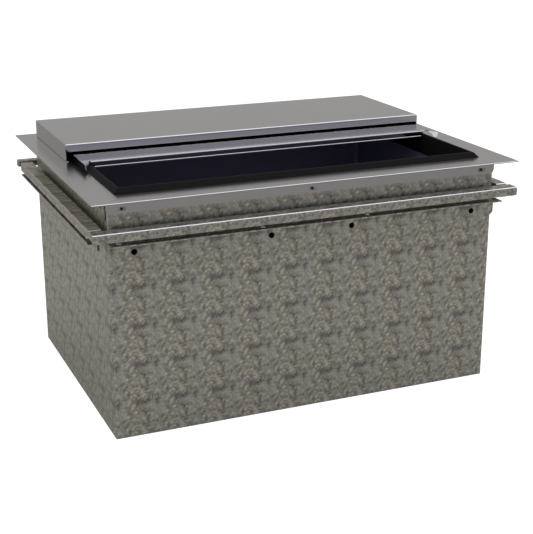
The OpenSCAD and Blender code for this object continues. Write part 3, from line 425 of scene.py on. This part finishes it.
def rivet_tree(finish):
    """Node tree that sets a turned blind rivet, with a pitted dome and a bulb, on every point."""
    tree = bpy.data.node_groups.new("blind_rivets", "GeometryNodeTree")
    new_socket = tree.interface.new_socket
    new_socket("Geometry", in_out="INPUT", socket_type="NodeSocketGeometry")
    for name, size in RIVET_SIZES.items():
        new_socket(name, in_out="INPUT", socket_type="NodeSocketFloat").default_value = size
    new_socket("Geometry", in_out="OUTPUT", socket_type="NodeSocketGeometry")
    given = tree.nodes.new("NodeGroupInput").outputs
    result = tree.nodes.new("NodeGroupOutput")
    join = tree.links.new

    # Radius and height of each ring of the rivet, from the bulb's end up
    rim = maths(tree, "MULTIPLY", given["Head rise"], RIVET_RIM_SHARE)
    under = maths(tree, "MULTIPLY", given["Grip below"], -1.0)
    rings = (
        (given["Shank radius"], maths(tree, "SUBTRACT", under, given["Bulb height"])),
        (given["Bulb radius"], under),
        (given["Shank radius"], under),
        (given["Shank radius"], given["Grip above"]),
        (given["Head radius"], given["Grip above"]),
        (given["Head radius"], maths(tree, "ADD", given["Grip above"], rim)),
    )

    # A stock of radius 1 with one ring of corners at each whole level
    last = len(rings) - 1
    stock = add_node(
        tree, "GeometryNodeMeshCylinder",
        Vertices=RIVET_SIDES, Side_Segments=last, Fill_Segments=RIVET_TOP_RINGS,
        Radius=1.0, Depth=last,
    )
    place = tree.nodes.new("ShaderNodeSeparateXYZ")
    join(tree.nodes.new("GeometryNodeInputPosition").outputs["Position"], place.inputs["Vector"])
    x, y, z = (place.outputs[axis] for axis in ("X", "Y", "Z"))
    level = maths(tree, "ADD", z, last / 2)
    radius, height = 0.0, 0.0
    for number, (ring_radius, ring_height) in enumerate(rings):
        off = maths(tree, "ABSOLUTE", maths(tree, "SUBTRACT", level, number))
        here = maths(tree, "LESS_THAN", off, 0.5)
        radius = maths(tree, "ADD", maths(tree, "MULTIPLY", here, ring_radius), radius)
        height = maths(tree, "ADD", maths(tree, "MULTIPLY", here, ring_height), height)
    on_top = here

    # The dome over the top ring, with the mandrel's pit in its middle
    flat = maths(tree, "ADD", maths(tree, "MULTIPLY", x, x), maths(tree, "MULTIPLY", y, y))
    away = maths(tree, "SQRT", flat)
    bulge = maths(tree, "SUBTRACT", 1.0, maths(tree, "POWER", away, RIVET_DOME_POWER))
    dome = maths(tree, "MULTIPLY", bulge, maths(tree, "SUBTRACT", given["Head rise"], rim))
    hole = maths(tree, "DIVIDE", given["Mandrel hole"], given["Head radius"])
    pit = maths(tree, "MULTIPLY", maths(tree, "LESS_THAN", away, hole), given["Head rise"])
    lift = maths(tree, "SUBTRACT", dome, maths(tree, "MULTIPLY", pit, RIVET_PIT_SHARE))
    spot = tree.nodes.new("ShaderNodeCombineXYZ")
    join(maths(tree, "MULTIPLY", x, radius), spot.inputs["X"])
    join(maths(tree, "MULTIPLY", y, radius), spot.inputs["Y"])
    join(maths(tree, "ADD", height, maths(tree, "MULTIPLY", lift, on_top)), spot.inputs["Z"])
    whole = tree.nodes.new("GeometryNodeSetPosition")
    join(stock.outputs["Mesh"], whole.inputs["Geometry"])
    join(spot.outputs["Vector"], whole.inputs["Position"])

    # One rivet on every point
    on_points = tree.nodes.new("GeometryNodeInstanceOnPoints")
    join(given["Geometry"], on_points.inputs["Points"])
    join(whole.outputs["Geometry"], on_points.inputs["Instance"])
    real = tree.nodes.new("GeometryNodeRealizeInstances")
    join(on_points.outputs["Instances"], real.inputs["Geometry"])
    coat = add_node(tree, "GeometryNodeSetMaterial", Material=finish)
    join(real.outputs["Geometry"], coat.inputs["Geometry"])
    join(coat.outputs["Geometry"], result.inputs["Geometry"])
    return tree


def blind_rivets(nodes, finish):
    """Domed blind rivets through the rails' feet and the ledges."""
    boxes = separate_lumps(nodes["rail_rivets"])
    tail = RIVET_SIZES["Grip below"] + RIVET_SIZES["Bulb height"]
    points = [((low.x + high.x) / 2, (low.y + high.y) / 2, low.z + tail) for low, high in boxes]
    seed = bpy.data.meshes.new("rivet_places")
    seed.from_pydata(points, [], [])
    carrier = bpy.data.objects.new("rivet_places", seed)
    bpy.context.scene.collection.objects.link(carrier)
    modifier = carrier.modifiers.new("rivets", "NODES")
    modifier.node_group = rivet_tree(finish)
    for item in modifier.node_group.interface.items_tree:
        if item.in_out == "INPUT" and item.name in RIVET_SIZES:
            modifier[item.identifier] = RIVET_SIZES[item.name]
    evaluated = carrier.evaluated_get(bpy.context.evaluated_depsgraph_get())
    mesh = bpy.data.meshes.new_from_object(evaluated)
    bpy.data.objects.remove(carrier)
    mesh.name = "blind_rivets"
    mesh.shade_smooth()
    mesh.set_sharp_from_angle(angle=RIVET_SHARP_EDGE)
    piece = bpy.data.objects.new("blind_rivets", mesh)
    bpy.context.scene.collection.objects.link(piece)
    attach(piece, "bin")
    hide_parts("rail_rivets")


def pale_floor():
    """A wide white floor. It looks brighter to the camera than it shines on the metal."""
    mesh = bpy.data.meshes.new("floor")
    half = FLOOR_SIZE / 2
    corners = [(-half, -half, 0), (half, -half, 0), (half, half, 0), (-half, half, 0)]
    mesh.from_pydata(corners, [], [(0, 1, 2, 3)])
    floor = bpy.data.objects.new("floor", mesh)
    bpy.context.scene.collection.objects.link(floor)
    floor.location.z = -FLOOR_BELOW
    material = bpy.data.materials.new("floor_white")
    material.use_nodes = True
    tree = material.node_tree
    tree.nodes.clear()
    reflected = add_node(tree, "ShaderNodeBsdfDiffuse", Color=(*FLOOR_REFLECTED, 1.0))
    paint = add_node(tree, "ShaderNodeBsdfDiffuse", Color=(*FLOOR_SEEN, 1.0))
    glow = add_node(tree, "ShaderNodeEmission", Strength=FLOOR_GLOW)
    bright = tree.nodes.new("ShaderNodeAddShader")
    tree.links.new(paint.outputs[0], bright.inputs[0])
    tree.links.new(glow.outputs[0], bright.inputs[1])
    ray = tree.nodes.new("ShaderNodeLightPath")
    mix = tree.nodes.new("ShaderNodeMixShader")
    tree.links.new(ray.outputs["Is Camera Ray"], mix.inputs["Fac"])
    tree.links.new(reflected.outputs[0], mix.inputs[1])
    tree.links.new(bright.outputs[0], mix.inputs[2])
    out = tree.nodes.new("ShaderNodeOutputMaterial")
    tree.links.new(mix.outputs[0], out.inputs["Surface"])
    mesh.materials.append(material)


def studio_world():
    """An even pale surround: cooler in front, warmer and dimmer behind, brighter overhead."""
    world = bpy.data.worlds.new("studio")
    bpy.context.scene.world = world
    world.use_nodes = True
    tree = world.node_tree
    coordinates = tree.nodes.new("ShaderNodeTexCoord")
    split = tree.nodes.new("ShaderNodeSeparateXYZ")
    tree.links.new(coordinates.outputs["Generated"], split.inputs["Vector"])
    height = spread(tree, split.outputs["Z"], low=0.0, high=1.0, to_low=0.0, to_high=1.0)
    behind = spread(tree, split.outputs["Y"], low=-0.5, high=0.5, to_low=0.0, to_high=1.0)
    tint = blend_colours(tree, behind, SURROUND_FRONT, SURROUND_BACK)
    surround = blend_colours(tree, 1.0, ramp(tree, height, SURROUND_RISE), tint, "MULTIPLY")
    tree.links.new(surround, tree.nodes["Background"].inputs["Color"])


def soft_box(name, place, aim, size, power, colour):
    """A large rectangular area light at a place, aimed at a point."""
    light = bpy.data.lights.new(name, "AREA")
    light.shape = "RECTANGLE"
    light.size, light.size_y = size
    light.energy = power
    light.color = colour
    lamp = bpy.data.objects.new(name, light)
    bpy.context.scene.collection.objects.link(lamp)
    lamp.location = place
    lamp.rotation_mode = "QUATERNION"
    lamp.rotation_quaternion = (Vector(aim) - Vector(place)).to_track_quat("-Z", "Y")


def photo_camera():
    """The camera at the photograph's place, turn, tilt and roll."""
    forward = Vector((
        math.sin(CAMERA_TURN) * math.cos(CAMERA_DOWN),
        math.cos(CAMERA_TURN) * math.cos(CAMERA_DOWN),
        -math.sin(CAMERA_DOWN),
    ))
    right = Vector((math.cos(CAMERA_TURN), -math.sin(CAMERA_TURN), 0.0))
    up = right.cross(forward)
    rolled_right = math.cos(CAMERA_ROLL) * right + math.sin(CAMERA_ROLL) * up
    rolled_up = -math.sin(CAMERA_ROLL) * right + math.cos(CAMERA_ROLL) * up
    data = bpy.data.cameras.new("camera")
    data.lens = CAMERA_LENS
    data.sensor_width = CAMERA_SENSOR
    data.clip_end = CAMERA_REACH
    camera = bpy.data.objects.new("camera", data)
    bpy.context.scene.collection.objects.link(camera)
    turned = Matrix((rolled_right, rolled_up, -forward)).transposed().to_4x4()
    camera.matrix_world = Matrix.Translation(CAMERA_PLACE) @ turned
    bpy.context.scene.camera = camera


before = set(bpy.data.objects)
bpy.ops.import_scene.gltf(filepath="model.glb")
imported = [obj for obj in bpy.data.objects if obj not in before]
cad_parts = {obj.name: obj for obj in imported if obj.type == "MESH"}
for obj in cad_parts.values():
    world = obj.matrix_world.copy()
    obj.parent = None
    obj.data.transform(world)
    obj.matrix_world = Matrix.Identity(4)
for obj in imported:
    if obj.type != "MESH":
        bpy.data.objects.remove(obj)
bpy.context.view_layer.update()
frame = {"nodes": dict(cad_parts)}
nodes = frame["nodes"]

bpy.context.scene.view_settings.view_transform = "Standard"

zinc = galvanised_sheet("galvanised_sheet")
long_ledge = galvanised_sheet("long_ledge_zinc", strip_axis="X")
side_ledge = galvanised_sheet("side_ledge_zinc", strip_axis="Y")
deck_steel = satin_stainless("deck_steel", (0.57, 0.56, 0.56), roughness=0.22)
lid_steel = satin_stainless("lid_steel", (0.57, 0.56, 0.56), roughness=0.11)
# Painted shade and reflection: the front-facing aprons get a darker, warmer copy of the deck's
# stainless
shaded_apron_steel = satin_stainless("shaded_apron_steel", (0.505, 0.487, 0.475), roughness=0.15)
# Painted shade: the liner's stainless is given a dark blue-grey that stands for the dim inside of
# the bin and its bluish reflections
shaded_tub_steel = satin_stainless("shaded_tub_steel", (0.23, 0.225, 0.30), roughness=0.35, metallic=0.35)
drain_steel = satin_stainless("drain_steel", (0.4, 0.4, 0.42), roughness=0.25)
plastic = moulded_plastic()

dress(nodes, zinc, "shell_wrap", "shell_back", "shell_base")
dress(nodes, zinc, *(f"rail_{side}" for side in SIDES))
dress(nodes, long_ledge, "ledge_front", "ledge_rear")
dress(nodes, side_ledge, "ledge_left", "ledge_right")
dress(nodes, deck_steel, "deck")
dress(nodes, lid_steel, "rear_cover", "sliding_lid")
dress(nodes, shaded_apron_steel, "apron_front", "apron_rear")
dress(nodes, shaded_tub_steel, "liner")
dress(nodes, drain_steel, "drain_body", "drain_strainer", "strainer_knob", "cover_studs")
blind_rivets(nodes, drain_steel)
dress(nodes, plastic, *(f"breaker_{side}" for side in SIDES))
dress(nodes, plastic, "lid_glide_left", "lid_glide_right")
dress(nodes, rigid_foam(), "foam_insulation")
dress(nodes, soft_rubber(), "rim_seal", "drain_gasket")
dress(nodes, turned_brass(), "drain_locknut", "drain_socket")
dress(nodes, blackened_pin(), "apron_pins")

pale_floor()
studio_world()
for light in LIGHTS:
    soft_box(*light)
photo_camera()
